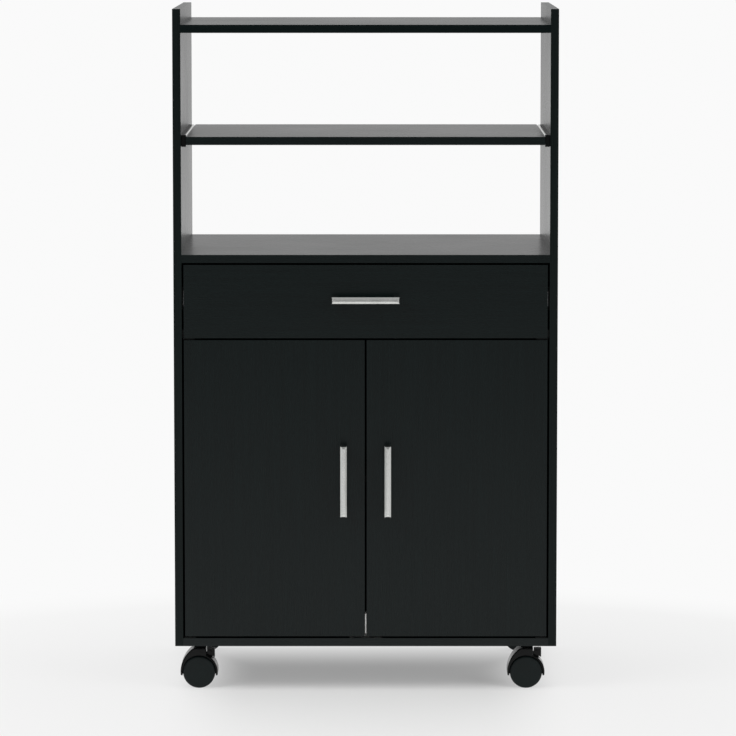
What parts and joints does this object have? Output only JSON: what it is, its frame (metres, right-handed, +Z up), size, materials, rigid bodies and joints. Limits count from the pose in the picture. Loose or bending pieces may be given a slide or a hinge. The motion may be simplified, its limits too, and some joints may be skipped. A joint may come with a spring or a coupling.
{
  "type": "microwave cart",
  "caption": "Kitchen cart on casters with two open bays, a pull-out shelf, a drawer and a two-door cupboard.",
  "frame": {"origin": "on the floor under the middle of the cart's outline, handles included", "axes": "+Z up, -Y towards the front with the doors and the drawer, +X to the right seen from the front"},
  "size_m": [0.59, 0.418, 1.0535],
  "materials": {
    "black_board": "black wood-grain foil on particle board, semi-matt",
    "hardboard": "dark painted hardboard, matt",
    "satin_handle": "satin nickel",
    "black_steel": "black coated steel",
    "zinc_steel": "bright zinc plating",
    "black_plastic": "black moulded plastic, semi-matt",
    "wheel_plastic": "black hard plastic, semi-matt",
    "grey_plastic": "light grey moulded plastic",
    "magnet": "dark ferrite"
  },
  "bodies": {
    "cabinet": {"side_panel_left": "black_board", "side_panel_right": "black_board", "top_shelf": "black_board", "counter": "black_board", "bottom_panel": "black_board", "divider_rail": "black_board", "back_panel": "hardboard", "inner_shelf": "black_board", "shelf_pins": "zinc_steel", "panel_screws": "zinc_steel", "back_panel_screws": "zinc_steel", "hardware_screws": "zinc_steel", "magnetic_catch": "grey_plastic", "catch_magnets": "magnet", "door_pivots_left": "black_steel", "door_pivots_right": "black_steel", "drawer_runner_left": "black_steel", "drawer_runner_right": "black_steel", "shelf_runner_left": "black_steel", "shelf_runner_right": "black_steel", "caster_plates": "zinc_steel", "swivel_pins": "zinc_steel"},
    "left_door": {"door_left": "black_board", "door_handle_left": "satin_handle", "door_screws_left": "zinc_steel", "strike_plate_left": "zinc_steel"},
    "right_door": {"door_right": "black_board", "door_handle_right": "satin_handle", "door_screws_right": "zinc_steel", "strike_plate_right": "zinc_steel"},
    "drawer": {"drawer_front": "black_board", "drawer_side_left": "black_board", "drawer_side_right": "black_board", "drawer_back": "black_board", "drawer_bottom": "hardboard", "drawer_handle": "satin_handle", "drawer_screws": "zinc_steel", "drawer_slide_left": "zinc_steel", "drawer_slide_right": "zinc_steel"},
    "drawer_cages": {"drawer_ball_cages": "zinc_steel"},
    "slide_shelf": {"pull_out_shelf": "black_board", "shelf_slide_left": "zinc_steel", "shelf_slide_right": "zinc_steel", "shelf_slide_caps": "black_plastic", "shelf_screws": "zinc_steel"},
    "shelf_cages": {"shelf_ball_cages": "zinc_steel"},
    "caster_front_left": {"caster_hood_front_left": "black_plastic"},
    "wheels_front_left": {"caster_axle_front_left": "zinc_steel", "caster_wheels_front_left": "wheel_plastic"},
    "caster_front_right": {"caster_hood_front_right": "black_plastic"},
    "wheels_front_right": {"caster_axle_front_right": "zinc_steel", "caster_wheels_front_right": "wheel_plastic"},
    "caster_rear_left": {"caster_hood_rear_left": "black_plastic"},
    "wheels_rear_left": {"caster_axle_rear_left": "zinc_steel", "caster_wheels_rear_left": "wheel_plastic"},
    "caster_rear_right": {"caster_hood_rear_right": "black_plastic"},
    "wheels_rear_right": {"caster_axle_rear_right": "zinc_steel", "caster_wheels_rear_right": "wheel_plastic"},
    "lever_front_left": {"brake_lever_front_left": "black_plastic"},
    "lever_front_right": {"brake_lever_front_right": "black_plastic"}
  },
  "joints": [
    {"name": "left_door_hinge", "type": "hinge", "parent": "cabinet", "child": "left_door", "pos_m": [-0.2715, -0.17475, 0.3155], "axis": [0, 0, -1], "range_deg": [0, 110]},
    {"name": "right_door_hinge", "type": "hinge", "parent": "cabinet", "child": "right_door", "pos_m": [0.2715, -0.17475, 0.3155], "axis": [0, 0, 1], "range_deg": [0, 110]},
    {"name": "drawer_travel", "type": "slide", "parent": "cabinet", "child": "drawer", "axis": [0, -1, 0], "range_m": [0, 0.26]},
    {"name": "drawer_cage_travel", "type": "slide", "parent": "cabinet", "child": "drawer_cages", "axis": [0, -1, 0], "range_m": [0, 0.13]},
    {"name": "shelf_travel", "type": "slide", "parent": "cabinet", "child": "slide_shelf", "axis": [0, -1, 0], "range_m": [0, 0.22]},
    {"name": "shelf_cage_travel", "type": "slide", "parent": "cabinet", "child": "shelf_cages", "axis": [0, -1, 0], "range_m": [0, 0.11]},
    {"name": "swivel_front_left", "type": "hinge", "parent": "cabinet", "child": "caster_front_left", "pos_m": [-0.254, -0.1435, 0.0615], "axis": [0, 0, 1], "continuous": true},
    {"name": "wheel_spin_front_left", "type": "hinge", "parent": "caster_front_left", "child": "wheels_front_left", "pos_m": [-0.259, -0.1435, 0.025], "axis": [0, 1, 0], "continuous": true},
    {"name": "swivel_front_right", "type": "hinge", "parent": "cabinet", "child": "caster_front_right", "pos_m": [0.254, -0.1435, 0.0615], "axis": [0, 0, 1], "continuous": true},
    {"name": "wheel_spin_front_right", "type": "hinge", "parent": "caster_front_right", "child": "wheels_front_right", "pos_m": [0.249, -0.1435, 0.025], "axis": [0, 1, 0], "continuous": true},
    {"name": "swivel_rear_left", "type": "hinge", "parent": "cabinet", "child": "caster_rear_left", "pos_m": [-0.254, 0.1715, 0.0615], "axis": [0, 0, 1], "continuous": true},
    {"name": "wheel_spin_rear_left", "type": "hinge", "parent": "caster_rear_left", "child": "wheels_rear_left", "pos_m": [-0.259, 0.1715, 0.025], "axis": [0, 1, 0], "continuous": true},
    {"name": "swivel_rear_right", "type": "hinge", "parent": "cabinet", "child": "caster_rear_right", "pos_m": [0.254, 0.1715, 0.0615], "axis": [0, 0, 1], "continuous": true},
    {"name": "wheel_spin_rear_right", "type": "hinge", "parent": "caster_rear_right", "child": "wheels_rear_right", "pos_m": [0.249, 0.1715, 0.025], "axis": [0, 1, 0], "continuous": true},
    {"name": "brake_front_left", "type": "hinge", "parent": "caster_front_left", "child": "lever_front_left", "pos_m": [-0.24302, -0.1435, 0.05444], "axis": [0, 1, 0], "range_deg": [0, 15]},
    {"name": "brake_front_right", "type": "hinge", "parent": "caster_front_right", "child": "lever_front_right", "pos_m": [0.26499, -0.1435, 0.05444], "axis": [0, 1, 0], "range_deg": [0, 15]}
  ],
  "couplings": [
    {"joint": "drawer_cage_travel", "follows": "drawer_travel", "ratio": 0.5},
    {"joint": "shelf_cage_travel", "follows": "shelf_travel", "ratio": 0.5}
  ]
}
